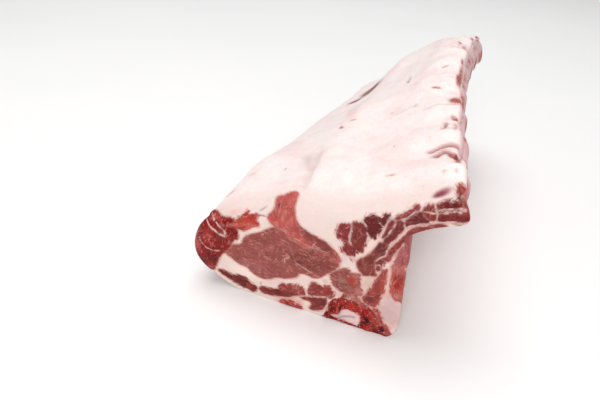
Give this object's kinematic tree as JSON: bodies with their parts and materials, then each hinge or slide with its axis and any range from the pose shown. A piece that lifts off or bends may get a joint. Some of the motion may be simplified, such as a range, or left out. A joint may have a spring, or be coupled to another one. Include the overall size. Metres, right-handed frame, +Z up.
{
  "type": "pork rib rack",
  "caption": "Raw bone-in pork rib rack lying on its sawn backbone: fat cap on top, cut loin face at the near end, ribs reaching out over the chest hollow.",
  "frame": {"origin": "on the surface that the rack lies on, under the middle of its box", "axes": "+Y along the backbone, away from the near cut face; +X from the back edge to the rib ends; +Z up through the fat cap"},
  "size_m": [0.1514, 0.2844, 0.1222],
  "materials": {
    "meat": "moist raw lean, satin",
    "fat": "firm pinkish white fat, soft sheen",
    "bone": "sawn red marrow bone, rough"
  },
  "bodies": {
    "root": {"fat_cap": "fat", "lean": "meat", "chine_bone": "bone"}
  },
  "joints": []
}
